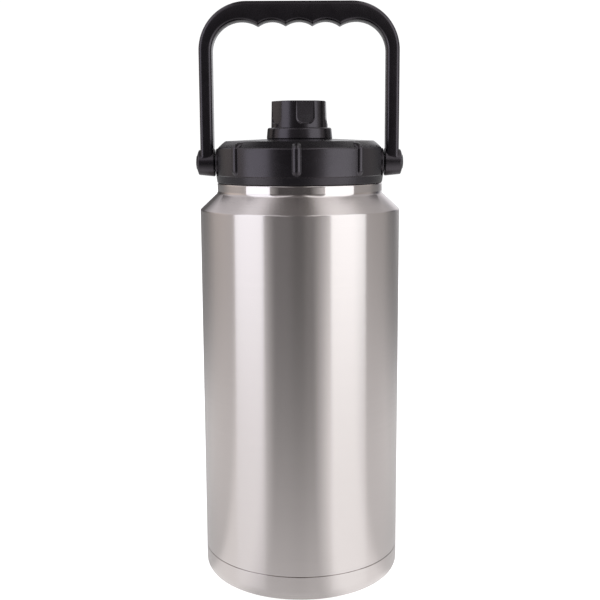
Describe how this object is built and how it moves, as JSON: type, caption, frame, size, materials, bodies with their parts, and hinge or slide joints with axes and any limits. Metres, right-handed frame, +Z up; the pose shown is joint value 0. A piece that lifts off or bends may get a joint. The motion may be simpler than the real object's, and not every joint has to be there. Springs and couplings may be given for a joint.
{
  "type": "large water jug",
  "caption": "Tall double-wall steel water jug with a wide ribbed screw lid, a screw-capped drinking spout and an upright swing handle with finger scallops.",
  "frame": {"origin": "centre of the base on the surface that the jug stands on", "axes": "+Z up along the jug's axis, front towards -Y, handle pivots along X"},
  "size_m": [0.1496, 0.144, 0.4178],
  "materials": {
    "steel_outer": "round-brushed stainless, satin",
    "steel_base": "round-brushed stainless, satin",
    "steel_inner": "electropolished stainless",
    "steel_plate": "plain rolled stainless",
    "solder": "dull metal",
    "getter_tablet": "sintered powder",
    "clip_steel": "spring steel strip",
    "lid_plastic": "satin moulded polypropylene",
    "plug_plastic": "moulded polypropylene",
    "foam": "rigid insulating foam",
    "gasket_silicone": "translucent silicone",
    "spout_plastic": "smooth moulded polypropylene",
    "ring_silicone": "translucent silicone",
    "collar_plastic": "satin moulded polypropylene",
    "insert_brass": "knurled brass",
    "screw_steel": "stainless",
    "washer_nylon": "nylon",
    "cap_plastic": "satin moulded polypropylene",
    "cap_liner_plastic": "smooth moulded polypropylene",
    "seal_silicone": "translucent silicone",
    "handle_plastic": "satin moulded polypropylene",
    "bushing_acetal": "acetal",
    "hub_cap_plastic": "satin moulded polypropylene"
  },
  "bodies": {
    "jug": {"outer_shell": "steel_outer", "base_cup": "steel_base", "inner_liner": "steel_inner", "base_plate": "steel_plate", "vacuum_seal": "solder", "getter": "getter_tablet", "getter_clip": "clip_steel"},
    "gasket": {"lid_gasket": "gasket_silicone"},
    "lid": {"lid_shell": "lid_plastic", "lid_plug": "plug_plastic", "lid_foam": "foam", "spout": "spout_plastic", "spout_ring": "ring_silicone", "spout_collar": "collar_plastic", "pivot_inserts": "insert_brass", "pivot_screws": "screw_steel", "pivot_washers": "washer_nylon"},
    "seal": {"cap_seal": "seal_silicone"},
    "cap": {"spout_cap": "cap_plastic", "cap_liner": "cap_liner_plastic"},
    "bail": {"handle": "handle_plastic", "pivot_bushings": "bushing_acetal", "hub_caps": "hub_cap_plastic"}
  },
  "joints": [
    {"name": "lid_lift", "type": "slide", "parent": "jug", "child": "gasket", "axis": [0, 0, 1], "range_m": [0, 0.06]},
    {"name": "lid_turn", "type": "hinge", "parent": "gasket", "child": "lid", "pos_m": [0, 0, 0.2839], "axis": [0, 0, 1], "range_deg": [0, 2160]},
    {"name": "cap_lift", "type": "slide", "parent": "lid", "child": "seal", "axis": [0, 0, 1], "range_m": [0, 0.03]},
    {"name": "cap_turn", "type": "hinge", "parent": "seal", "child": "cap", "pos_m": [0, 0, 0.34], "axis": [0, 0, 1], "range_deg": [0, 1800]},
    {"name": "handle_swing", "type": "hinge", "parent": "lid", "child": "bail", "pos_m": [0, 0, 0.3057], "axis": [1, 0, 0], "range_deg": [-118, 118]}
  ],
  "couplings": [
    {"joint": "lid_lift", "follows": "lid_turn", "m_per_rad": 0.0015915},
    {"joint": "cap_lift", "follows": "cap_turn", "m_per_rad": 0.0009549}
  ]
}
